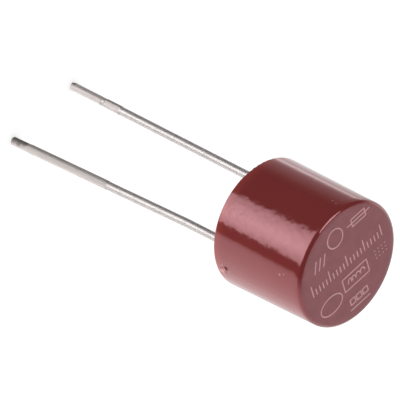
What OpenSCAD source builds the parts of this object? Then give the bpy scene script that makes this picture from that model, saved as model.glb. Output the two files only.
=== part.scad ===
// Radial lead fuse: a round moulded cap over a base with two wire leads.
// Millimetres. The board's surface is z = 0, the cap is above it and the leads
// hang below it. The leads stand along X, halfway between them is x = 0, y = 0.

/* [Cap] */
// Diameter of the cap at its mouth
cap_d = 8.5; // [8.5:0.1:10]
// Height of the cap from its mouth to its marked face
cap_h = 7.3; // [7:0.1:9]
// How much the cap's radius shrinks from mouth to face, for the mould's draft
cap_draft = 0.09; // [0.02:0.01:0.15]
// Rounding between the side and the marked face
cap_edge_r = 0.22; // [0.16:0.01:0.4]
// Rounding on the outside of the mouth
cap_lip_r = 0.12; // [0.06:0.01:0.2]
// Wall thickness where the base sits
cap_wall = 0.6; // [0.5:0.05:0.65]
// Thickness of the marked end
cap_roof = 0.75; // [0.6:0.05:1]
// Depth of the shoulder that stops the base
cap_shoulder = 0.14; // [0.08:0.02:0.2]

/* [Gate scar] */
// Angle round the cap where the moulding gate was broken off
gate_angle = 181; // [0:1:359]
// Height of the scar above the mouth
gate_z = 0.75; // [0.7:0.05:1.5]
// Radius of the dimple round the scar
gate_r = 0.4; // [0.25:0.01:0.45]
// Depth of the dimple
gate_depth = 0.08; // [0.05:0.01:0.12]
// Radius of the broken stub in the dimple
stub_r = 0.14; // [0.08:0.01:0.18]
// How far the stub stands out from the cap's side
stub_h = 0.02; // [0:0.01:0.06]

/* [Base] */
// Height of the feet that hold the cap off the board
foot_h = 0.6; // [0.3:0.05:0.8]
// How far the base's underside lies inside the cap's mouth
base_recess = 0.25; // [0.1:0.05:0.4]
// Thickness of the base
base_t = 1.2; // [1:0.1:1.6]
// How far the snap bead stands out from the base's edge
bead_h = 0.08; // [0.04:0.01:0.12]
// Height of the bosses round the leads, above the base
boss_h = 0.9; // [0.5:0.1:1.2]
// Length of each foot
foot_l = 3.4; // [2:0.1:4]
// Width of each foot
foot_w = 0.7; // [0.5:0.1:1]
// Distance of each foot from the row of leads
foot_y = 2.1; // [1.8:0.1:2.4]

/* [Leads] */
// Diameter of the lead wire
lead_d = 0.55; // [0.5:0.05:0.6]
// Distance between the leads at the board
pitch = 5.08; // [5:0.01:5.2]
// Length of the leads below the board's surface
lead_l = 18.8; // [10:0.1:25]
// Length below the board's surface that stays square to it
lead_plain = 3.5; // [2.5:0.1:5]
// How far the left tip leans outward
left_out = 0.3; // [0.1:0.01:0.5]
// How far the left tip leans to the back
left_back = 0.18; // [0:0.01:0.4]
// How far the right tip leans outward
right_out = 0.16; // [0.1:0.01:0.5]
// How far the right tip leans to the back
right_back = 0.02; // [0:0.01:0.4]
// Thickness of a lead where the tooling pressed it
press_t = 0.49; // [0.45:0.01:0.52]
// Diameter that a pressed stretch would have at full round
press_d = 0.59; // [0.56:0.01:0.62]

/* [Element] */
// Diameter of the core that the fuse wire is wound on
core_d = 0.8; // [0.6:0.05:1]
// Height of the core above the board
core_z = 4.6; // [4.2:0.1:5]
// Diameter of the fuse wire
wire_d = 0.12; // [0.08:0.01:0.16]
// Number of turns round the core
turns = 7; // [3:1:8]
// Distance from turn to turn
turn_pitch = 0.36; // [0.28:0.02:0.38]
// Radius of the solder round each lead's upper end
solder_r = 0.75; // [0.7:0.01:0.8]

/* [Hidden] */
$fn = 96;

// How far a cut runs past the face that it opens
cut = 0.5;
// Overlap of two cuts that meet
nip = 0.01;

cap_r = cap_d / 2;
lip_z = foot_h;
face_z = lip_z + cap_h;
cap_top_r = cap_r - cap_draft;
// Straight stretch of the side next to each rounding
land = 0.1;

// The base's seat in the mouth. The snap bead is at the middle of its edge, with
// sloped flanks and a narrow crest.
seat_r = cap_r - cap_wall;
base_z = lip_z + base_recess;
base_top = base_z + base_t;
bead_z = base_z + base_t / 2;
bead_w = 0.4;
crest_w = 0.1;

// The cavity above the base
cavity_r = seat_r - cap_shoulder;
cavity_draft = 0.06;
cavity_edge_r = 0.3;
cavity_top = face_z - cap_roof;

// Bosses and the web between them
boss_r = 0.8;
boss_top_r = 0.62;
collar_r = 0.6;
web_w = 0.5;
web_h = 0.5;

lead_r = lead_d / 2;
// The coined ears that lock a lead in the base, and the post above them, which
// tapers so that it finds its way through the boss
ear_z = lip_z;
ear_h = 0.8;
ear_r = 0.45;
ear_t = 0.42;
post_z = ear_z + ear_h;
post_end_r = lead_r - 0.02;
// The leads end a little above the core's middle
lead_top = core_z + 0.3;
function post_r(z) = lead_r - (lead_r - post_end_r) * (z - post_z) / (lead_top - post_z);
// Each lead leans in a plane of its own, towards its tip. A ball just wider than
// the wire is the bend, and the straight stretches end inside it.
bend_r = lead_r + 0.005;
bend_reach = sqrt(bend_r * bend_r - lead_r * lead_r);
bend_z = -lead_plain - bend_reach;
bend_gap = 0.02;
lean_run = lead_l + bend_z;

// The marks of the tooling on each lead: start and length from the tip, and the way the flats face
press_left = [[1.5, 6.9, 150]];
press_right = [[0, 2.8, 45], [3.1, 1.3, 125]];
// How far the flats run past the widened stretch
flat_run = 0.06;

core_r = core_d / 2;
// The core stops just short of the leads, inside the solder
core_end = pitch / 2 - lead_r - 0.06;
// Where the solder ends towards the middle, and the skirt that it wets down the lead
solder_in = pitch / 2 - 0.5;
skirt_h = 0.55;
skirt_z = core_z - solder_r * 0.75 - skirt_h;
skirt_low_r = lead_r + 0.04;
skirt_top_r = solder_r * 0.6;

// The wire's centre line is stepped along its own length. Its turning eases in
// and out, so that straight tails lead to the solder. wind_gap keeps its straight
// steps clear of the core.
wind_gap = 0.015;
wind_r = core_r + wire_d / 2 + wind_gap;
turn_l = norm([turn_pitch, 2 * PI * wind_r]);
turn_part = 2 * PI * wind_r / turn_l;
step_n = 16;
step_l = turn_l / step_n;
ease_n = 4;
wind_n = turns * step_n + ease_n;

function smooth(t) = t <= 0 ? 0 : t >= 1 ? 1 : t * t * (3 - 2 * t);
// How much of step i goes round the core
function turning(i) = turn_part * min(smooth((i + 0.5) / ease_n), smooth((wind_n - i - 0.5) / ease_n));
function along(i) = step_l * sqrt(1 - pow(turning(i), 2));
function around(i) = step_l * turning(i) / wind_r * 180 / PI;
function total(list) = list * [for (v = list) 1];

wind_l = total([for (i = [0:wind_n - 1]) along(i)]);
// x and angle at every step of the winding, then with the tails
winding = [for (i = 0, x = -wind_l / 2, a = 0; i <= wind_n;
                x = x + along(i), a = a + around(i), i = i + 1) [x, a]];
last_a = winding[wind_n][1];
tail_x = (solder_in + wind_l / 2) / 2;
route = concat([[-solder_in, 0], [-tail_x, 0]], winding, [[tail_x, last_a], [solder_in, last_a]]);
centres = [for (p = route) [p[0], wind_r * sin(p[1]), core_z + wind_r * cos(p[1])]];

function unit(v) = v / norm(v);
// Direction of travel at point i. The two ends face the solder squarely.
function heading(p, i) = i == 0 || i == len(p) - 1 ? [1, 0, 0] : unit(p[i + 1] - p[i - 1]);
// Outward direction at point i, square to the travel
function outward(p, i) = let (o = unit([0, p[i][1], p[i][2] - core_z]), h = heading(p, i))
    unit(o - h * (o * h));
function ring(p, i, r, n) = let (o = outward(p, i), s = cross(heading(p, i), o))
    [for (k = [0:n - 1]) p[i] + r * (cos(360 * k / n) * o + sin(360 * k / n) * s)];

// A round wire of radius r swept through the points p
module swept(p, r, n = 6) {
    last = len(p) - 1;
    polyhedron(
        points = [for (i = [0:last]) each ring(p, i, r, n)],
        faces = concat(
            [[for (k = [0:n - 1]) k]],
            [for (i = [0:last - 1], k = [0:n - 1], half = [0, 1])
                let (a = i * n + k, b = i * n + (k + 1) % n)
                half == 0 ? [a, a + n, b] : [b, a + n, b + n]],
            [[for (k = [n - 1:-1:0]) last * n + k]]),
        convexity = 10);
}

// Section of the cap's outside, rounded at the mouth and where side and face meet.
// The drafted side runs between two short straight lands.
module cap_outline() {
    lip = [cap_r - cap_lip_r, lip_z + cap_lip_r];
    edge = [cap_top_r - cap_edge_r, face_z - cap_edge_r];
    polygon([
        [0, lip_z],
        [lip[0], lip_z],
        lip,
        [cap_r, lip[1]],
        [cap_r, lip[1] + land],
        [cap_top_r, edge[1] - land],
        [cap_top_r, edge[1]],
        edge,
        [edge[0], face_z],
        [0, face_z]]);
    translate(lip) circle(r = cap_lip_r);
    translate(edge) circle(r = cap_edge_r);
}

// Section of the base's edge and of the seat it snaps into
module seat_outline(low) {
    polygon([
        [0, low],
        [seat_r, low],
        [seat_r, bead_z - bead_w / 2],
        [seat_r + bead_h, bead_z - crest_w / 2],
        [seat_r + bead_h, bead_z + crest_w / 2],
        [seat_r, bead_z + bead_w / 2],
        [seat_r, base_top],
        [0, base_top]]);
}

// Section of the cavity above the base
module cavity_outline() {
    polygon([
        [0, base_top - nip],
        [cavity_r, base_top - nip],
        [cavity_r - cavity_draft, cavity_top - cavity_edge_r],
        [cavity_r - cavity_draft - cavity_edge_r, cavity_top],
        [0, cavity_top]]);
}

// A bar with round ends, standing on z = 0
module bar(l, w, h) {
    linear_extrude(height = h) {
        square([l - w, w], center = true);
        for (s = [-1, 1]) translate([s * (l - w) / 2, 0]) circle(d = w);
    }
}

module cap() {
    dimple_r = (gate_r * gate_r + gate_depth * gate_depth) / (2 * gate_depth);
    scar_r = cap_r - cap_draft * gate_z / cap_h;
    color([0.42, 0.16, 0.16]) {
        difference() {
            rotate_extrude() difference() {
                cap_outline();
                seat_outline(lip_z - cut);
                cavity_outline();
            }
            rotate([0, 0, gate_angle]) translate([scar_r - gate_depth + dimple_r, 0, lip_z + gate_z])
                sphere(r = dimple_r);
        }
        rotate([0, 0, gate_angle]) translate([scar_r - 2 * gate_depth, 0, lip_z + gate_z])
            rotate([0, 90, 0]) cylinder(r = stub_r, h = 2 * gate_depth + stub_h);
    }
}

module base() {
    color([0.42, 0.16, 0.16]) difference() {
        union() {
            rotate_extrude() seat_outline(base_z);
            for (s = [-1, 1]) {
                translate([s * pitch / 2, 0, base_top])
                    cylinder(r1 = boss_r, r2 = boss_top_r, h = boss_h);
                translate([s * pitch / 2, 0, lip_z]) cylinder(r = collar_r, h = base_recess);
                translate([0, s * foot_y, 0]) bar(foot_l, foot_w, base_z);
            }
            translate([-pitch / 2, -web_w / 2, base_top]) cube([pitch, web_w, web_h]);
        }
        for (s = [-1, 1]) translate([s * pitch / 2, 0, 0]) upright(0, base_top + boss_h + cut);
    }
}

// The stretch of a lead that stands square to the board, coined flat inside the base
module upright(low, high) {
    difference() {
        rotate_extrude() polygon([
            [0, low],
            [lead_r, low],
            [lead_r, ear_z],
            [ear_r, ear_z],
            [ear_r, post_z],
            [lead_r, post_z],
            [post_r(high), high],
            [0, high]]);
        for (s = [-1, 1]) translate([0, s * (ear_t / 2 + ear_r), ear_z + ear_h / 2])
            cube([2 * ear_r + cut, 2 * ear_r, ear_h], center = true);
    }
}

// The leaning stretch, from its tip at z = 0 up to where the lean starts. The
// tooling's marks are a little wider than the wire, with a flat on each side.
module leaning(l, marks, turn) {
    difference() {
        union() {
            cylinder(r = lead_r, h = l);
            for (m = marks) translate([0, 0, m[0]]) cylinder(d = press_d, h = m[1]);
        }
        for (m = marks, s = [0, 180]) rotate([0, 0, m[2] - turn + s])
            translate([press_t / 2, -press_d, m[0] - flat_run])
                cube([press_d, 2 * press_d, m[1] + 2 * flat_run]);
    }
}

// A lead whose tip stands off by the given x and y
module lead(tip, marks) {
    turn = atan2(tip[1], tip[0]);
    lean = atan2(norm(tip), lean_run);
    lean_l = norm([norm(tip), lean_run]) - bend_gap;
    color([0.80, 0.79, 0.78]) {
        upright(bend_z + bend_gap, lead_top);
        translate([0, 0, bend_z]) {
            sphere(r = bend_r);
            rotate([0, -lean, turn]) translate([0, 0, -lean_l - bend_gap]) leaning(lean_l, marks, turn);
        }
    }
}

module lead_left() {
    translate([-pitch / 2, 0, 0]) lead([-left_out, -left_back], press_left);
}

module lead_right() {
    translate([pitch / 2, 0, 0]) lead([right_out, -right_back], press_right);
}

module core() {
    color([0.90, 0.88, 0.82]) translate([-core_end, 0, core_z])
        rotate([0, 90, 0]) cylinder(r = core_r, h = 2 * core_end);
}

module element() {
    color([0.78, 0.62, 0.45]) swept(centres, wire_d / 2);
}

// Solder that joins a lead's upper end, the end of the core and the wire's tail
module solder() {
    color([0.66, 0.66, 0.68]) difference() {
        union() {
            intersection() {
                translate([pitch / 2, 0, core_z]) sphere(r = solder_r);
                translate([solder_in, -2 * solder_r, core_z - 2 * solder_r])
                    cube(4 * solder_r);
            }
            translate([pitch / 2, 0, skirt_z]) cylinder(r1 = skirt_low_r, r2 = skirt_top_r, h = skirt_h);
        }
        translate([pitch / 2, 0, 0]) upright(0, lead_top);
        translate([solder_in - cut, 0, core_z]) rotate([0, 90, 0])
            cylinder(r = core_r, h = core_end - solder_in + cut);
    }
}

module solder_left() {
    mirror([1, 0, 0]) solder();
}

module solder_right() {
    solder();
}

cap();
base();
lead_left();
lead_right();
core();
element();
solder_left();
solder_right();
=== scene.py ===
# Looks for the radial lead fuse. Blender works in metres; the dictionaries are in millimetres and degrees.
import math

import bpy
import numpy as np
from mathutils import Matrix, Vector


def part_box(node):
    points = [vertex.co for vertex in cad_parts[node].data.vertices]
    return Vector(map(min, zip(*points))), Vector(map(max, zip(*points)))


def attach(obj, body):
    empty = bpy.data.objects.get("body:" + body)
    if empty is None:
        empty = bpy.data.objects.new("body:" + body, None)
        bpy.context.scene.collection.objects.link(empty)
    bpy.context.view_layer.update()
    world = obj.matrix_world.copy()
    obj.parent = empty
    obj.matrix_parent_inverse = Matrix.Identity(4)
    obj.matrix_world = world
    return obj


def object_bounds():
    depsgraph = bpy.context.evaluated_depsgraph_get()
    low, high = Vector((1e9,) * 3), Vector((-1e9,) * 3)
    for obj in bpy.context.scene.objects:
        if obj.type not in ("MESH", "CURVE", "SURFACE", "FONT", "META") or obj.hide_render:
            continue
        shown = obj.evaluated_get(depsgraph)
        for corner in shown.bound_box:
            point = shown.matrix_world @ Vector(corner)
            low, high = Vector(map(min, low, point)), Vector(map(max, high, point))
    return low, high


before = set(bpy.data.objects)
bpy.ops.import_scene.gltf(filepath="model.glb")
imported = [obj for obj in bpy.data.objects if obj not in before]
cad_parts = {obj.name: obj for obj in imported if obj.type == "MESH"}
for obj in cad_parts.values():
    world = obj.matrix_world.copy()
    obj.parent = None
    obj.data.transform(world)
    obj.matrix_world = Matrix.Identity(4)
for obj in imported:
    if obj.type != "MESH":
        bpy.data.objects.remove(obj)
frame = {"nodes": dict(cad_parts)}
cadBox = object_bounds()
print("frame:", ", ".join(frame["nodes"]))

mm = 0.001
capLow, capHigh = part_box("cap")
mouthZ, faceZ = capLow.z, capHigh.z
mouthR = (capHigh.x - capLow.x) / 2

# Settings that many nodes share. A Mix node takes numbers at inputs 2 and 3 and gives them at output 0.
# Vectors are inputs 4 and 5 and output 1, colours inputs 6 and 7 and output 2.
smooth = {"interpolation_type": "SMOOTHSTEP"}
mixNumbers = {"data_type": "FLOAT"}
mixVectors = {"data_type": "VECTOR"}
mixColors = {"data_type": "RGBA"}


# sRGB hex to linear colour: up to 0.04045 divide by 12.92, above it raise (c + 0.055) / 1.055 to 2.4
def linearColor(hexText):
    parts = [int(hexText[i:i + 2], 16) / 255 for i in (1, 3, 5)]
    return [c / 12.92 if c <= 0.04045 else ((c + 0.055) / 1.055) ** 2.4 for c in parts] + [1.0]


# An input is a value, a socket, or a node, which gives its first output
def addNode(tree, kind, settings={}, inputs={}):
    node = tree.nodes.new(kind)
    for name, value in settings.items():
        setattr(node, name, value)
    for name, value in inputs.items():
        if isinstance(value, bpy.types.Node):
            value = value.outputs[0]
        if isinstance(value, bpy.types.NodeSocket):
            tree.links.new(value, node.inputs[name])
        else:
            node.inputs[name].default_value = value
    return node


def newMaterial(name):
    material = bpy.data.materials.new(name)
    material.use_nodes = True
    material.node_tree.nodes.clear()
    return material, material.node_tree


def dress(material, *nodeNames):
    for nodeName in nodeNames:
        for slot in frame["nodes"][nodeName].material_slots:
            slot.material = material


# Unit vector from azimuth and height over the horizon
def towards(azimuth, height):
    a, h = math.radians(azimuth), math.radians(height)
    return Vector((math.cos(h) * math.cos(a), math.cos(h) * math.sin(a), math.sin(h)))


# Point on the cap's drafted side: angle round the axis, height above the mouth
def onSide(degrees, height):
    share = height * mm / (faceZ - mouthZ)
    r = mouthR - capLook["draft"] * mm * share
    return (r * math.cos(math.radians(degrees)), r * math.sin(math.radians(degrees)), mouthZ + height * mm)


# The camera has a long lens, so the two leads stay nearly parallel
cameraView = {
    "place": (-169.856, 268.582, 242.951), "target": (-1.607, 1.553, -2.787), "roll": 116.80,
    "lens": 586.77, "sensor": 36, "nearest": 10,
}

cameraData = bpy.data.cameras.new("productCamera")
cameraData.lens = cameraView["lens"]
cameraData.sensor_width = cameraView["sensor"]
cameraData.clip_start = cameraView["nearest"] * mm
camera = bpy.data.objects.new("productCamera", cameraData)
bpy.context.collection.objects.link(camera)
eye = Vector(cameraView["place"]) * mm
aim = (Vector(cameraView["target"]) * mm - eye).to_track_quat("-Z", "Y").to_matrix()
roll = Matrix.Rotation(math.radians(cameraView["roll"]), 3, "Z")
camera.matrix_world = Matrix.Translation(eye) @ (aim @ roll).to_4x4()
bpy.context.scene.camera = camera
print("camera set")


# The studio is a white room round the object. Gloss mirrors its white walls, one large softbox, a small lamp
# and the dark side of the room where the camera stands. Matt surfaces get even light, a little more on one
# side. A height in this dictionary is the z of a unit vector, except in fillAt and lampAt.
studio = {
    "even": 0.96,                 # light on every matt surface
    "fill": 1.4,                  # added on matt surfaces that face the fill light
    "fillFocus": 6,               # power of its cosine lobe
    "fillAt": (225, -42),         # azimuth and degrees over the horizon
    # what gloss mirrors below the horizon: azimuth and level, level 1 being white
    "around": [
        (0, 0.72), (5, 0.52), (20, 0.33), (34, 0.1), (42, 0.03),          # end of the wall, dark corner
        (96, 0.03), (100, 0.8), (103.5, 2.35), (108, 2.75), (116, 3.7),   # softbox, brightest in its middle
        (128, 4.5), (134, 4.55), (142, 3.9), (150, 2.85), (153.5, 2.2), (156.5, 0.15),
        (160, 0.02), (172, 0.02),                                         # dark gap
        (176.5, 1.05), (184, 1.3), (250, 1.3), (282, 1.07), (293, 0.85),  # white wall
        (301, 0.82), (312, 1.02), (322, 1.15), (344, 1.16),
        (347.5, 1.6), (350, 2.15), (352.5, 2.0), (356, 1.05),             # bright strip at the wall's end
    ],
    "strongest": 4.6,             # level that a ramp's stop at 1 stands for
    # share lost where the lights end, from mid height to a little further down and up: azimuth, below, above
    "fading": [
        (0, 0.15, 0.2), (40, 0.0, 0.0), (100, 0.0, 0.0), (126, 0.24, 0.06), (150, 0.08, 0.04),
        (160, 0.0, 0.0), (272, 0.0, 0.05), (284, 0.0, 0.35), (298, 0.03, 0.5), (308, 0.3, 0.38),
        (325, 0.18, 0.25), (345, 0.1, 0.2),
    ],
    "midHeight": -0.602, "lowEnd": -0.647, "highEnd": -0.557,
    "softboxMiddle": 128,
    "flare": 0.5,                 # how much wider the softbox gets towards its top
    "flareFrom": -0.6,
    "softboxTop": (-0.38, 0.08),  # between these heights the ring of lights gives way to walls and ceiling
    "wallFacing": (0.0, -0.95, -0.31), "wallEdge": (-0.22, 0.32), "wall": 1.18,
    "wallEnd": 1.5, "wallEndFrom": (0.35, 0.9),                # its brighter end, along x
    "lampAt": (55, 56), "lampSize": (21, 12), "lamp": 4.8,     # small lamp over the camera
    "dark": 0.02,
}

world = bpy.data.worlds.new("studioWrap")
bpy.context.scene.world = world
world.use_nodes = True
world.cycles.sampling_method = "NONE"
air = world.node_tree
air.nodes.clear()
direction = addNode(air, "ShaderNodeTexCoord").outputs["Generated"]
x, y, z = addNode(air, "ShaderNodeSeparateXYZ", {}, {0: direction}).outputs

# azimuth, drawn out round the softbox's middle: azimuth - flare * (z - flareFrom) * sin(azimuth - middle)
azimuth = addNode(air, "ShaderNodeMath", {"operation": "ARCTAN2"}, {0: y, 1: x})
fromMiddle = addNode(air, "ShaderNodeMath", {"operation": "SUBTRACT"},
                     {0: azimuth, 1: math.radians(studio["softboxMiddle"])})
swing = addNode(air, "ShaderNodeMath", {"operation": "SINE"}, {0: fromMiddle})
raised = addNode(air, "ShaderNodeMath", {"operation": "MULTIPLY_ADD"},
                 {0: z, 1: -studio["flare"], 2: studio["flareFrom"] * studio["flare"]})
flared = addNode(air, "ShaderNodeMath", {"operation": "MULTIPLY_ADD"}, {0: swing, 1: raised, 2: azimuth})
turnShare = addNode(air, "ShaderNodeMath", {"operation": "DIVIDE"}, {0: flared, 1: 2 * math.pi})
turnShare = addNode(air, "ShaderNodeMath", {"operation": "FRACT"}, {0: turnShare})

# two ramps round the horizon, whose first stop also ends the turn
levelStops = [(degrees, [level / studio["strongest"]] * 3) for degrees, level in studio["around"]]
fadingStops = [(degrees, [under, over, 0]) for degrees, under, over in studio["fading"]]
ramps = []
for rows in (levelStops, fadingStops):
    ramp = addNode(air, "ShaderNodeValToRGB", {}, {0: turnShare})
    stops = ramp.color_ramp.elements
    stops[0].position, stops[1].position = 0, 1
    stops[0].color = stops[1].color = rows[0][1] + [1]
    for degrees, color in rows[1:]:
        stops.new(degrees / 360).color = color + [1]
    ramps.append(ramp)
around = addNode(air, "ShaderNodeMath", {"operation": "MULTIPLY"}, {0: ramps[0], 1: studio["strongest"]})
under, over = addNode(air, "ShaderNodeSeparateColor", {}, {0: ramps[1]}).outputs[:2]
for share, end in ((under, studio["lowEnd"]), (over, studio["highEnd"])):
    way = addNode(air, "ShaderNodeMapRange", {},
                  {"Value": z, "From Min": studio["midHeight"], "From Max": end})
    lost = addNode(air, "ShaderNodeMath", {"operation": "MULTIPLY"}, {0: way, 1: share})
    left = addNode(air, "ShaderNodeMath", {"operation": "SUBTRACT"}, {0: 1.0, 1: lost})
    around = addNode(air, "ShaderNodeMath", {"operation": "MULTIPLY"}, {0: around, 1: left})

# white walls and ceiling on one side, brighter towards the wall's end, and the small lamp
facing = addNode(air, "ShaderNodeVectorMath", {"operation": "DOT_PRODUCT"},
                 {0: direction, 1: studio["wallFacing"]}).outputs["Value"]
wallLevel = addNode(air, "ShaderNodeMapRange", {},
                    {"Value": x, "From Min": studio["wallEndFrom"][0], "From Max": studio["wallEndFrom"][1],
                     "To Min": studio["wall"], "To Max": studio["wallEnd"]})
wall = addNode(air, "ShaderNodeMapRange", smooth,
               {"Value": facing, "From Min": studio["wallEdge"][0], "From Max": studio["wallEdge"][1],
                "To Min": studio["dark"], "To Max": wallLevel})
toLamp = addNode(air, "ShaderNodeVectorMath", {"operation": "DOT_PRODUCT"},
                 {0: direction, 1: towards(*studio["lampAt"])}).outputs["Value"]
lampEdges = [math.cos(math.radians(size)) for size in studio["lampSize"]]
lamp = addNode(air, "ShaderNodeMapRange", smooth,
               {"Value": toLamp, "From Min": lampEdges[0], "From Max": lampEdges[1],
                "To Min": 0, "To Max": studio["lamp"]})
above = addNode(air, "ShaderNodeMath", {"operation": "ADD"}, {0: wall, 1: lamp})
below = addNode(air, "ShaderNodeMapRange", smooth,
                {"Value": z, "From Min": studio["softboxTop"][0], "From Max": studio["softboxTop"][1],
                 "To Min": 1, "To Max": 0})
gloss = addNode(air, "ShaderNodeMix", mixNumbers, {"Factor": below, 2: above, 3: around})

# matt surfaces: even light plus a broad cosine lobe from the fill light
fill = addNode(air, "ShaderNodeVectorMath", {"operation": "DOT_PRODUCT"},
               {0: direction, 1: towards(*studio["fillAt"])}).outputs["Value"]
fill = addNode(air, "ShaderNodeMath", {"operation": "MAXIMUM"}, {0: fill, 1: 0})
fill = addNode(air, "ShaderNodeMath", {"operation": "POWER"}, {0: fill, 1: studio["fillFocus"]})
fillLevel = studio["fill"] * (studio["fillFocus"] + 2) / 2       # so that a surface square to it gets fill
mattLight = addNode(air, "ShaderNodeMath", {"operation": "MULTIPLY_ADD"},
                    {0: fill, 1: fillLevel, 2: studio["even"]})
rays = addNode(air, "ShaderNodeLightPath").outputs
onObject = addNode(air, "ShaderNodeMix", mixNumbers,
                   {"Factor": rays["Is Glossy Ray"], 2: mattLight, 3: gloss})
level = addNode(air, "ShaderNodeMix", mixNumbers,
                {"Factor": rays["Is Camera Ray"], 2: onObject, 3: 1.0})      # the camera sees white
glow = addNode(air, "ShaderNodeBackground", {}, {"Color": linearColor("#FFFFFF"), "Strength": level})
addNode(air, "ShaderNodeOutputWorld", {}, {"Surface": glow})
print("studio set")


# Floor: a sweep of white paper. The lift is added for the camera only, so the shadow stays.
floorLook = {"size": 4000, "color": "#F2F2F2", "lift": 0.25}

half, floorZ = floorLook["size"] * mm / 2, cadBox[0].z
corners = [(-half, -half, floorZ), (half, -half, floorZ), (half, half, floorZ), (-half, half, floorZ)]
floorMesh = bpy.data.meshes.new("floor")
floorMesh.from_pydata(corners, [], [(0, 1, 2, 3)])
floor = bpy.data.objects.new("floor", floorMesh)
bpy.context.collection.objects.link(floor)
floor.visible_glossy = False     # the object sees the studio under it too, as over a glass table
floor.visible_diffuse = False
paper, tree = newMaterial("whitePaperSweep")
cameraRay = addNode(tree, "ShaderNodeLightPath").outputs["Is Camera Ray"]
lift = addNode(tree, "ShaderNodeMath", {"operation": "MULTIPLY"}, {0: cameraRay, 1: floorLook["lift"]})
matt = addNode(tree, "ShaderNodeBsdfDiffuse", {}, {"Color": linearColor(floorLook["color"])})
shine = addNode(tree, "ShaderNodeEmission", {}, {"Color": linearColor("#FFFFFF"), "Strength": lift})
both = addNode(tree, "ShaderNodeAddShader", {}, {0: matt, 1: shine})
addNode(tree, "ShaderNodeOutputMaterial", {}, {"Surface": both})
floorMesh.materials.append(paper)
print("floor set")


# Cap: polyamide, injection moulded. The polished side mirrors the studio with a faint ripple, the face is
# spark eroded and fine matt, the gate is broken off pale, with painted light on its stub's lower side and
# painted shade on its upper side, and the side has painted light towards the mouth.
capLook = {
    "draft": 0.09, "edge": 0.22,
    "color": "#722D2C", "streak": "#6C2929", "streakSize": 1.6,
    "rimPaintedGlow": "#7F3531", "rimRun": 0.9,                 # painted light: lighter towards the mouth, as light shines through the thin wall, over this height
    "face": "#6C3436", "faceDrift": "#74393D",
    "blotch": (0.7, 0.35, 0.65),                     # the face's drift: width, noise values it runs from, to
    "faceStarts": (0.008, 0.002),                    # depths where the face's finish starts and is full
    "roughness": 0.075, "faceRoughness": 0.5, "scarRoughness": 0.8,
    "tint": "#FEC5CE", "ior": 1.53, "polish": 1.0,   # polish: specular level, 1 for a skin this glossy
    "ripple": (0.55, 0.004, 0.021),                  # width, depth, depth where it is strongest
    "rippleAt": (116, 36),                           # where it is strongest: angle, half its spread
    "grain": (0.16, 0.0006), "peel": (0.24, 0.006),  # width and depth
    "barrel": 1.5,                                   # lean of the side at both ends, from shrinkage
    "shoulder": (0.35, 6.0), "roll": (0.28, 10.0),   # how far and steeply side and face fall off
    "outside": 0.35,                                 # the outside is what comes this near the mouth's radius
    "dimple": (181, 0.75, 0.42),                     # the gate's dimple: angle, height, radius
    # spots on the side: angle, height, radius, colour, strength
    "spots": [
        (181.5, 0.7, 0.5, "#9A5A58", 0.8), (184.8, 0.46, 0.26, "#BC908E", 0.9),       # pale gate scar, paler still where painted light falls on the stub's lower side
        (178.2, 0.98, 0.24, "#5A2422", 0.6),                                          # painted shade on the stub's upper side
        (157.0, 5.6, 0.12, "#C08D8E", 0.5), (155.2, 5.92, 0.1, "#C08D8E", 0.3),       # small pale flecks
        (75.3, 6.21, 0.1, "#B08080", 0.4), (76.6, 6.6, 0.1, "#B08080", 0.35),
    ],
    "spotMiddle": 0.2,                               # share of its radius where a spot is full
    "ragged": (0.12, 0.16),                          # a spot's ragged outline: width and spread
}
baseLook = {**capLook, "roughness": 0.35}            # base: the same plastic from a less polished mould


# Height of the fall-off into the rounding, in metres, for the bump. The slope grows evenly along the side and
# shrinks evenly along the face: minus half the slope times run times the square of the way gone. Between them
# it changes evenly with the angle round the edge. The barrel falls with the square of the way from mid side.
def softShoulder(tree, look, place):
    x, y, z = addNode(tree, "ShaderNodeSeparateXYZ", {}, {0: place}).outputs
    flat = addNode(tree, "ShaderNodeCombineXYZ", {}, {0: x, 1: y})
    radius = addNode(tree, "ShaderNodeVectorMath", {"operation": "LENGTH"}, {0: flat}).outputs["Value"]
    edge = look["edge"] * mm
    edgeR, edgeZ = mouthR - look["draft"] * mm - edge, faceZ - edge
    slopes, fallen = [], 0.0
    for way, end, (run, angle) in ((z, edgeZ, look["shoulder"]), (radius, edgeR, look["roll"])):
        slopes.append(math.tan(math.radians(angle)))
        gone = addNode(tree, "ShaderNodeMapRange", {},
                       {"Value": way, "From Min": end - run * mm, "From Max": end})
        gone = addNode(tree, "ShaderNodeMath", {"operation": "POWER"}, {0: gone, 1: 2})
        fallen = addNode(tree, "ShaderNodeMath", {"operation": "MULTIPLY_ADD"},
                         {0: gone, 1: -slopes[-1] * run * mm / 2, 2: fallen})
    up = addNode(tree, "ShaderNodeMath", {"operation": "SUBTRACT"}, {0: z, 1: edgeZ})
    out = addNode(tree, "ShaderNodeMath", {"operation": "SUBTRACT"}, {0: radius, 1: edgeR})
    turn = addNode(tree, "ShaderNodeMath", {"operation": "ARCTAN2"}, {0: up, 1: out})
    turn = addNode(tree, "ShaderNodeClamp", {}, {"Value": turn, "Min": 0, "Max": math.pi / 2})
    bend = addNode(tree, "ShaderNodeMath", {"operation": "MULTIPLY_ADD"},
                   {0: turn, 1: edge * sum(slopes) / math.pi, 2: -edge * slopes[0]})
    shoulder = addNode(tree, "ShaderNodeMath", {"operation": "MULTIPLY_ADD"}, {0: turn, 1: bend, 2: fallen})
    half = (faceZ - mouthZ) / 2
    fromHalf = addNode(tree, "ShaderNodeMath", {"operation": "SUBTRACT"}, {0: z, 1: mouthZ + half})
    fromHalf = addNode(tree, "ShaderNodeMath", {"operation": "POWER"}, {0: fromHalf, 1: 2})
    barrel = math.tan(math.radians(look["barrel"])) / (2 * half)
    return addNode(tree, "ShaderNodeMath", {"operation": "MULTIPLY_ADD"},
                   {0: fromHalf, 1: -barrel, 2: shoulder})


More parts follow.
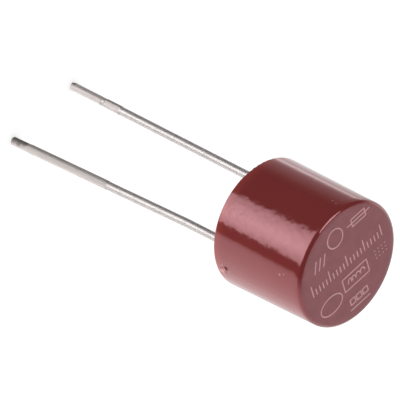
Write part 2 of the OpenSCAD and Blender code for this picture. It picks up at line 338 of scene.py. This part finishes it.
# The mesh's normals break along its seam, so on the outside, save in the gate's dimple, they are turned to
# point straight away from the axis: the place's direction across the axis times the length of the normal's
# part across, plus the normal's part along the axis.
def awayFromAxis(tree, look, place):
    normal = addNode(tree, "ShaderNodeTexCoord").outputs["Normal"]
    flat, lengths = [], []
    for vector in (place, normal):
        x, y, z = addNode(tree, "ShaderNodeSeparateXYZ", {}, {0: vector}).outputs
        flat.append(addNode(tree, "ShaderNodeCombineXYZ", {}, {0: x, 1: y}))
        length = addNode(tree, "ShaderNodeVectorMath", {"operation": "LENGTH"}, {0: flat[-1]})
        lengths.append(length.outputs["Value"])
    radius, length = lengths
    unit = addNode(tree, "ShaderNodeVectorMath", {"operation": "NORMALIZE"}, {0: flat[0]})
    across = addNode(tree, "ShaderNodeVectorMath", {"operation": "SCALE"}, {0: unit, "Scale": length})
    along = addNode(tree, "ShaderNodeCombineXYZ", {}, {2: z})        # z is the normal's, the last one read
    turned = addNode(tree, "ShaderNodeVectorMath", {"operation": "ADD"}, {0: across, 1: along})
    outside = addNode(tree, "ShaderNodeMath", {"operation": "GREATER_THAN"},
                      {0: radius, 1: mouthR - look["outside"] * mm})
    degrees, up, r = look["dimple"]
    away = addNode(tree, "ShaderNodeVectorMath", {"operation": "DISTANCE"},
                   {0: place, 1: onSide(degrees, up)}).outputs["Value"]
    clear = addNode(tree, "ShaderNodeMath", {"operation": "GREATER_THAN"}, {0: away, 1: r * mm})
    turning = addNode(tree, "ShaderNodeMath", {"operation": "MULTIPLY"}, {0: outside, 1: clear})
    chosen = addNode(tree, "ShaderNodeMix", mixVectors, {"Factor": turning, 4: normal, 5: turned}).outputs[1]
    return addNode(tree, "ShaderNodeVectorTransform",
                   {"vector_type": "NORMAL", "convert_from": "OBJECT", "convert_to": "WORLD"}, {0: chosen})


# Scar, painted shade and light at the gate's stub, and small pale flecks on the side: each is full in its
# middle and fades to its ragged outline
def sideSpots(tree, look, place, color):
    width, spread = look["ragged"]
    wobble = addNode(tree, "ShaderNodeTexNoise", {},
                     {"Vector": place, "Scale": 1 / (width * mm), "Detail": 2.0})
    ragged = addNode(tree, "ShaderNodeMath", {"operation": "MULTIPLY_ADD"},
                     {0: wobble, 1: spread * mm, 2: -spread / 2 * mm})
    spotsAndPaintedShade = 0.0
    for degrees, up, r, tone, strength in look["spots"]:
        away = addNode(tree, "ShaderNodeVectorMath", {"operation": "DISTANCE"},
                       {0: place, 1: onSide(degrees, up)}).outputs["Value"]
        away = addNode(tree, "ShaderNodeMath", {"operation": "ADD"}, {0: away, 1: ragged})
        here = addNode(tree, "ShaderNodeMapRange", smooth,
                       {"Value": away, "From Min": r * look["spotMiddle"] * mm, "From Max": r * mm,
                        "To Min": strength, "To Max": 0})
        color = addNode(tree, "ShaderNodeMix", mixColors,
                        {"Factor": here, 6: color, 7: linearColor(tone)}).outputs[2]
        spotsAndPaintedShade = addNode(tree, "ShaderNodeMath", {"operation": "ADD", "use_clamp": True}, {0: here, 1: spotsAndPaintedShade})
    return color, spotsAndPaintedShade


# Maroon moulded polyamide: colour drifts between two near tones, gloss from the mould's finish
def mouldedPlastic(name, look, isCap):
    material, tree = newMaterial(name)
    place = addNode(tree, "ShaderNodeTexCoord").outputs["Object"]
    flow = addNode(tree, "ShaderNodeTexNoise", {},
                   {"Vector": place, "Scale": 1 / (look["streakSize"] * mm), "Detail": 3.0})
    color = addNode(tree, "ShaderNodeMix", mixColors,
                    {"Factor": flow, 6: linearColor(look["color"]),
                     7: linearColor(look["streak"])}).outputs[2]
    rough = look["roughness"]
    width, depth, strongDepth = look["ripple"]
    ripple = addNode(tree, "ShaderNodeTexNoise", {},
                     {"Vector": place, "Scale": 1 / (width * mm), "Detail": 1.2})
    if isCap:
        # stronger where the radius points near rippleAt
        angle, spread = look["rippleAt"]
        facing = addNode(tree, "ShaderNodeVectorMath", {"operation": "DOT_PRODUCT"},
                         {0: place, 1: towards(angle, 0)}).outputs["Value"]
        strong = addNode(tree, "ShaderNodeMapRange", smooth,
                         {"Value": facing, "From Min": math.cos(math.radians(spread)) * mouthR,
                          "From Max": mouthR, "To Min": 1, "To Max": strongDepth / depth})
        ripple = addNode(tree, "ShaderNodeMath", {"operation": "SUBTRACT"}, {0: ripple, 1: 0.5})    # about 0
        ripple = addNode(tree, "ShaderNodeMath", {"operation": "MULTIPLY"}, {0: ripple, 1: strong})
    bump = addNode(tree, "ShaderNodeBump", {}, {"Height": ripple, "Distance": depth * mm, "Strength": 1.0})
    if isCap:
        tree.links.new(awayFromAxis(tree, look, place).outputs[0], bump.inputs["Normal"])
    width, depth = look["grain"]
    grain = addNode(tree, "ShaderNodeTexNoise", {},
                    {"Vector": place, "Scale": 1 / (width * mm), "Detail": 2.0})
    bump = addNode(tree, "ShaderNodeBump", {},
                   {"Height": grain, "Distance": depth * mm, "Strength": 1.0, "Normal": bump})
    if isCap:
        bump = addNode(tree, "ShaderNodeBump", {},
                       {"Height": softShoulder(tree, look, place), "Distance": 1.0, "Strength": 1.0,
                        "Normal": bump})
        height = addNode(tree, "ShaderNodeSeparateXYZ", {}, {0: place}).outputs[2]
        starts, full = look["faceStarts"]
        onFace = addNode(tree, "ShaderNodeMapRange", {},
                         {"Value": height, "From Min": faceZ - starts * mm, "From Max": faceZ - full * mm})
        # painted light near the mouth, where light shines through the thin wall
        paintedGlowNearRim = addNode(tree, "ShaderNodeMapRange", smooth,
                          {"Value": height, "From Min": mouthZ, "From Max": mouthZ + look["rimRun"] * mm,
                           "To Min": 1, "To Max": 0})
        color = addNode(tree, "ShaderNodeMix", mixColors,
                        {"Factor": paintedGlowNearRim, 6: color, 7: linearColor(look["rimPaintedGlow"])}).outputs[2]
        color, spotsAndPaintedShade = sideSpots(tree, look, place, color)
        width, low, high = look["blotch"]
        blotch = addNode(tree, "ShaderNodeTexNoise", {},
                         {"Vector": place, "Scale": 1 / (width * mm), "Detail": 2.0})
        blotch = addNode(tree, "ShaderNodeMapRange", {}, {"Value": blotch, "From Min": low, "From Max": high})
        faceColor = addNode(tree, "ShaderNodeMix", mixColors,
                            {"Factor": blotch, 6: linearColor(look["face"]),
                             7: linearColor(look["faceDrift"])}).outputs[2]
        color = addNode(tree, "ShaderNodeMix", mixColors,
                        {"Factor": onFace, 6: color, 7: faceColor}).outputs[2]
        rough = addNode(tree, "ShaderNodeMix", mixNumbers,
                        {"Factor": spotsAndPaintedShade, 2: rough, 3: look["scarRoughness"]})
        rough = addNode(tree, "ShaderNodeMix", mixNumbers,
                        {"Factor": onFace, 2: rough, 3: look["faceRoughness"]})
        width, depth = look["peel"]
        peel = addNode(tree, "ShaderNodeTexNoise", {},
                       {"Vector": place, "Scale": 1 / (width * mm), "Detail": 2.0})
        peel = addNode(tree, "ShaderNodeMath", {"operation": "MULTIPLY"}, {0: peel, 1: onFace})
        bump = addNode(tree, "ShaderNodeBump", {},
                       {"Height": peel, "Distance": depth * mm, "Strength": 1.0, "Normal": bump})
    shader = addNode(tree, "ShaderNodeBsdfPrincipled", {}, {
        "Base Color": color, "Roughness": rough, "IOR": look["ior"], "Specular IOR Level": look["polish"],
        "Specular Tint": linearColor(look["tint"]), "Normal": bump})
    addNode(tree, "ShaderNodeOutputMaterial", {}, {"Surface": shader})
    return material


dress(mouldedPlastic("mouldedPolyamideCap", capLook, True), "cap")
dress(mouldedPlastic("mouldedPolyamideBase", baseLook, False), "base")
print("plastic dressed")


# Leads: hot-tinned copper wire, drawn and dulled by handling. Soft gloss with fine lengthwise lines, matt
# where the tooling pressed them, with painted shade and light across those stretches. Real drawing lines are
# about 0.02 mm apart; they are coarser here, to show.
leadLook = {
    "color": "#C1BBBA", "dull": "#A8A09E", "roughness": 0.5, "metallic": 0.8,
    "across": 0.11, "along": 2.6, "depth": 0.0008,   # the lines
    # pressed stretches, with painted shade and light across them: on which side, from, to
    "pressed": [(-1, -19.2, -10.4), (1, -18.9, -16.0), (1, -15.7, -14.4)],
    "pressedEnd": 0.05, "pressedRoughness": 0.64,
    "scratches": (0.38, 0.6, 0.25),                  # noise values they run between, least strength
    # across a press mark the colour is painted shade going to painted light, towards the azimuth of the lit
    # side
    "pressedShade": "#A09895", "pressedLight": "#DAD2CF", "paintedLitSide": 211, "halfWidth": 0.24,
    # each lead's middle line, x and y at the heights of middleEnds
    "middle": {-1: ((-2.54, 0), (-2.84, -0.18)), 1: ((2.54, 0), (2.7, -0.02))},
    "middleEnds": (-3.5, -18.8),
    # nicks near the tips: x, y, z, radius
    "nicks": [(-2.84, 0.12, -18.62, 0.42), (-2.85, 0.12, -18.15, 0.46), (-2.78, 0.12, -17.7, 0.38),
              (2.8, 0.25, -18.65, 0.26)],
    "nickMiddle": 0.3, "nickColor": "#77716F",       # nickMiddle: share of its radius where it is full
}
# Element: drawn copper alloy, bright with fine lines
elementLook = {"color": "#C9A07A", "dull": "#A57F5C", "roughness": 0.25, "metallic": 1.0,
               "across": 0.03, "along": 0.4, "depth": 0.0003}
# Solder: tin that cooled in air, dull and softly uneven
solderLook = {"color": "#B4B4B7", "dull": "#8E8E92", "roughness": 0.36, "metallic": 1.0,
              "across": 0.3, "along": 0.3, "depth": 0.006}
# Patches of tarnish on every metal: width, noise values they run between, most strength, change in roughness
tarnishLook = {"width": 0.9, "from": 0.5, "to": 0.75, "most": 0.3, "rougher": 0.12}


# A press mark is 1 on its side between low and high, the least of three ramps. Its colour is painted shade
# and
# light: its tone goes by how far the place is from the middle line towards the lit side: place times (lit,
# lean) minus the line's own value.
def pressMark(tree, look, place, side, low, high):
    x, y, z = addNode(tree, "ShaderNodeSeparateXYZ", {}, {0: place}).outputs
    here = addNode(tree, "ShaderNodeMath", {"operation": "MULTIPLY"}, {0: x, 1: side / mm})
    for end, inward in ((low, look["pressedEnd"]), (high, -look["pressedEnd"])):
        ramp = addNode(tree, "ShaderNodeMapRange", {},
                       {"Value": z, "From Min": (end - inward) * mm, "From Max": (end + inward) * mm})
        here = addNode(tree, "ShaderNodeMath", {"operation": "MINIMUM", "use_clamp": True},
                       {0: here, 1: ramp})
    topZ, tipZ = look["middleEnds"]
    top, tip = (Vector(point) for point in look["middle"][side])
    lit = towards(look["paintedLitSide"], 0).to_2d()
    lean = (tip - top).dot(lit) / (topZ - tipZ)
    middle = top.dot(lit) + topZ * lean
    across = addNode(tree, "ShaderNodeVectorMath", {"operation": "DOT_PRODUCT"},
                     {0: place, 1: (lit.x, lit.y, lean)}).outputs["Value"]
    tone = addNode(tree, "ShaderNodeMapRange", {},
                   {"Value": across, "From Min": (middle - look["halfWidth"]) * mm,
                    "From Max": (middle + look["halfWidth"]) * mm})
    pressed = addNode(tree, "ShaderNodeMix", mixColors,
                      {"Factor": tone, 6: linearColor(look["pressedShade"]),
                       7: linearColor(look["pressedLight"])}).outputs[2]
    return here, pressed


# Metal with fine lines along z and patches of tarnish, and press marks with painted shade and light, and
# nicks where its look has them
def linedMetal(name, look):
    material, tree = newMaterial(name)
    place = addNode(tree, "ShaderNodeTexCoord").outputs["Object"]
    scale = (1 / (look["across"] * mm), 1 / (look["across"] * mm), 1 / (look["along"] * mm))
    drawn = addNode(tree, "ShaderNodeMapping", {}, {"Vector": place, "Scale": scale})
    lines = addNode(tree, "ShaderNodeTexNoise", {}, {"Vector": drawn, "Scale": 1.0, "Detail": 2.0})
    patches = addNode(tree, "ShaderNodeTexNoise", {},
                      {"Vector": place, "Scale": 1 / (tarnishLook["width"] * mm), "Detail": 3.0})
    tarnish = addNode(tree, "ShaderNodeMapRange", {},
                      {"Value": patches, "From Min": tarnishLook["from"], "From Max": tarnishLook["to"],
                       "To Max": tarnishLook["most"]})
    color = addNode(tree, "ShaderNodeMix", mixColors,
                    {"Factor": tarnish, 6: linearColor(look["color"]),
                     7: linearColor(look["dull"])}).outputs[2]
    rougher = tarnishLook["rougher"]
    rough = addNode(tree, "ShaderNodeMath", {"operation": "MULTIPLY_ADD"},
                    {0: patches, 1: rougher, 2: look["roughness"] - rougher / 2})
    for mark in look.get("pressed", []):
        here, pressed = pressMark(tree, look, place, *mark)
        rough = addNode(tree, "ShaderNodeMix", mixNumbers,
                        {"Factor": here, 2: rough, 3: look["pressedRoughness"]})
        low, high, least = look["scratches"]
        # painted shade and light on the press mark, broken up by the lines
        scratchedPaintedShade = addNode(tree, "ShaderNodeMapRange", {},
                            {"Value": lines, "From Min": low, "From Max": high, "To Min": least})
        scratchedPaintedShade = addNode(tree, "ShaderNodeMath", {"operation": "MULTIPLY"}, {0: here, 1: scratchedPaintedShade})
        color = addNode(tree, "ShaderNodeMix", mixColors,
                        {"Factor": scratchedPaintedShade, 6: color, 7: pressed}).outputs[2]
    for *spot, r in look.get("nicks", []):
        away = addNode(tree, "ShaderNodeVectorMath", {"operation": "DISTANCE"},
                       {0: place, 1: [c * mm for c in spot]}).outputs["Value"]
        here = addNode(tree, "ShaderNodeMapRange", smooth,
                       {"Value": away, "From Min": r * look["nickMiddle"] * mm, "From Max": r * mm,
                        "To Min": 1, "To Max": 0})
        color = addNode(tree, "ShaderNodeMix", mixColors,
                        {"Factor": here, 6: color, 7: linearColor(look["nickColor"])}).outputs[2]
    bump = addNode(tree, "ShaderNodeBump", {},
                   {"Height": lines, "Distance": look["depth"] * mm, "Strength": 1.0})
    shader = addNode(tree, "ShaderNodeBsdfPrincipled", {},
                     {"Base Color": color, "Metallic": look["metallic"], "Roughness": rough, "Normal": bump})
    addNode(tree, "ShaderNodeOutputMaterial", {}, {"Surface": shader})
    return material


dress(linedMetal("tinPlatedLead", leadLook), "lead_left", "lead_right")
dress(linedMetal("copperAlloyWire", elementLook), "element")
dress(linedMetal("coolSolder", solderLook), "solder_left", "solder_right")
print("metals dressed")


# Plain matt material whose tone and bump follow one grain: unglazed ceramic, or foamed plastic
def grainyMatt(name, look):
    material, tree = newMaterial(name)
    place = addNode(tree, "ShaderNodeTexCoord").outputs["Object"]
    width, depth = look["grain"]
    grain = addNode(tree, "ShaderNodeTexNoise", {},
                    {"Vector": place, "Scale": 1 / (width * mm), "Detail": 2.0})
    color = addNode(tree, "ShaderNodeMix", mixColors,
                    {"Factor": grain, 6: linearColor(look["color"]),
                     7: linearColor(look["drift"])}).outputs[2]
    bump = addNode(tree, "ShaderNodeBump", {}, {"Height": grain, "Distance": depth * mm, "Strength": 1.0})
    shader = addNode(tree, "ShaderNodeBsdfPrincipled", {},
                     {"Base Color": color, "Roughness": look["roughness"], "Normal": bump})
    addNode(tree, "ShaderNodeOutputMaterial", {}, {"Surface": shader})
    return material


# Core: unglazed alumina ceramic, fine sintered grain. The grain's values are its width and depth.
coreLook = {"color": "#E8E2D4", "drift": "#D8D0BF", "grain": (0.08, 0.002), "roughness": 0.75}
dress(grainyMatt("sinteredCeramic", coreLook), "core")
print("ceramic dressed")


# Laser marks: generic symbols, foamed up a little out of the face by the beam. Foamed plastic scatters light,
# so it is paler and matt. Reading direction is +X, up is +Y.
marks = {
    "width": 0.1, "rise": 0.014, "sink": 0.004, "seed": 7,
    "steps": 22, "arcSteps": 66,                 # points along a line and an arc
    "columns": 7,                                # points across a bead
    "wobble": 0.24, "wobbleRun": 5,              # drift in width, and how many steps it is smoothed over
    # in half widths: how far an end runs on, how wide it ends, and how wide the bead is at its last point
    "endRun": 0.8, "endWidth": 0.35, "lastWidth": 0.75,
    "color": "#AE7C80", "drift": "#C3999C", "grain": (0.11, 0.003), "roughness": 0.7,
    # lines: x0, y0, x1, y1
    "lines": [
        # fuse symbol, upper right
        (0.75, 2.55, 1.15, 2.55), (1.15, 2.27, 2.35, 2.27), (1.15, 2.83, 2.35, 2.83),
        (1.15, 2.27, 1.15, 2.83), (2.35, 2.27, 2.35, 2.83), (1.15, 2.55, 2.75, 2.55),
        # three slanted bars, upper left
        (-2.55, 1.35, -2.2, 2.15), (-2.15, 1.35, -1.8, 2.15), (-1.75, 1.35, -1.4, 2.15),
        # underline, bottom
        (-0.75, -3.35, 1.0, -3.35),
        # frame round the coil
        (-0.75, -1.75, 1.45, -1.75), (-0.75, -0.75, 1.45, -0.75), (-0.75, -1.75, -0.75, -0.75),
        (1.45, -1.75, 1.45, -0.75),
    ],
    # arcs: centre x, y, radii x, y, from, to
    "arcs": [
        (-0.35, 2.55, 0.66, 0.66, 0, 360), (-2.0, -1.75, 0.95, 0.62, 0, 360),                      # two rings
        (-0.15, -1.35, 0.2, 0.28, 180, 0), (0.15, -1.35, 0.2, 0.28, 180, 0),                       # coil
        (0.55, -1.35, 0.2, 0.28, 180, 0), (0.95, -1.35, 0.2, 0.28, 180, 0),
    ],
    # scale of ticks along the middle: from x, to x, foot y, count, long tick, short tick, long tick every
    "scale": (-3.1, 3.1, -0.1, 21, 0.85, 0.45, 5),
    # grid of dots, right: left x, top y, columns, rows, spacing, length of a dot
    "grid": (2.2, -0.75, 4, 3, 0.3, 0.05),
    # open squares over the underline: first x, foot y, count, side, spacing
    "squares": (-0.6, -3.0, 3, 0.42, 0.56),
}


# Every stroke as one function of t in 0..1: a straight run between two points, or a centre plus radius times
# cosine and sine
def strokePaths(marks):
    lines = list(marks["lines"])
    x0, x1, foot, count, longTick, shortTick, every = marks["scale"]
    for i in range(count):
        x = x0 + (x1 - x0) * i / (count - 1)
        lines.append((x, foot, x, foot + (longTick if i % every == 0 else shortTick)))
    left, top, columns, rows, gap, dot = marks["grid"]
    for i in range(columns * rows):
        x, y = left + gap * (i % columns), top - gap * (i // columns)
        lines.append((x, y, x + dot, y))
    first, foot, count, side, gap = marks["squares"]
    for i in range(count):
        a, b, c, d = first + gap * i, foot, first + gap * i + side, foot + side
        lines += [(a, b, c, b), (a, d, c, d), (a, b, a, d), (c, b, c, d)]
    t = np.linspace(0, 1, marks["steps"])[:, None]
    paths = [np.array(s[:2]) + (np.array(s[2:]) - np.array(s[:2])) * t for s in lines]
    for cx, cy, rx, ry, start, end in marks["arcs"]:
        turn = np.radians(start + (end - start) * np.linspace(0, 1, marks["arcSteps"]))
        paths.append(np.stack([cx + rx * np.cos(turn), cy + ry * np.sin(turn)], 1))
    return paths


# Domed bead along the path. Across it goes half a cosine of height, its half width shrinks to a round end,
# and it drifts a little in width.
def strokeSurface(path, marks, rng):
    tangent = np.gradient(path, axis=0)
    tangent /= np.linalg.norm(tangent, axis=1)[:, None]
    side = np.stack([-tangent[:, 1], tangent[:, 0]], 1)
    length = np.concatenate([[0], np.cumsum(np.linalg.norm(np.diff(path, axis=0), axis=1))])
    r = marks["width"] / 2
    toEnd = np.minimum(length, length[-1] - length)
    run = marks["wobbleRun"]
    noise = np.convolve(rng.uniform(-1, 1, len(path) + run - 1), np.ones(run) / run, "valid")
    drift = 1 + marks["wobble"] * noise
    # the ends run on, so that a bead is rounded past its last point
    runOn, endWidth, lastWidth = marks["endRun"] * r, marks["endWidth"], marks["lastWidth"]
    path = np.concatenate([path[:1] - tangent[:1] * runOn, path, path[-1:] + tangent[-1:] * runOn])
    side = np.concatenate([side[:1], side, side[-1:]])
    taper = np.clip(lastWidth + toEnd / r * (1 - lastWidth), 0, 1)
    wide = r * np.concatenate([[endWidth], drift * taper, [endWidth]])
    across = np.linspace(-1, 1, marks["columns"])
    dome = np.cos(across * math.pi / 2) * marks["rise"]
    xy = path[:, None] + side[:, None] * (across[None, :, None] * wide[:, None, None])
    heights = np.broadcast_to(dome[None, :, None], xy.shape[:2] + (1,)) * (wide / r)[:, None, None]
    top = np.concatenate([xy, heights], 2)
    foot = np.concatenate([xy[:, [-1, 0]], np.full((len(path), 2, 1), -marks["sink"])], 2)
    rings = np.concatenate([top, foot], 1)
    count, around = rings.shape[:2]
    i, k = np.meshgrid(np.arange(count - 1), np.arange(around), indexing="ij")
    a, b = i * around + k, i * around + (k + 1) % around
    quads = np.stack([a, b, b + around, a + around], -1).reshape(-1, 4)
    caps = [list(range(around))[::-1], list(range((count - 1) * around, count * around))]
    return rings.reshape(-1, 3), quads, caps


rng = np.random.default_rng(marks["seed"])
points, faces, used = [], [], 0
for path in strokePaths(marks):
    surface, quads, caps = strokeSurface(path, marks, rng)
    points.append(surface)
    faces += (quads + used).tolist() + [[v + used for v in cap] for cap in caps]
    used += len(surface)
points = np.concatenate(points)
points[:, 2] += faceZ / mm
marksMesh = bpy.data.meshes.new("laserMarks")
marksMesh.from_pydata((points * mm).tolist(), [], faces)
marksMesh.validate()
marksMesh.shade_smooth()
marksMesh.materials.append(grainyMatt("laserFoamedPolyamide", marks))
laserMarks = bpy.data.objects.new("laserMarks", marksMesh)
bpy.context.collection.objects.link(laserMarks)
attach(laserMarks, "root")
print("laser marks:", len(faces), "faces")


bpy.context.scene.view_settings.view_transform = "Standard"
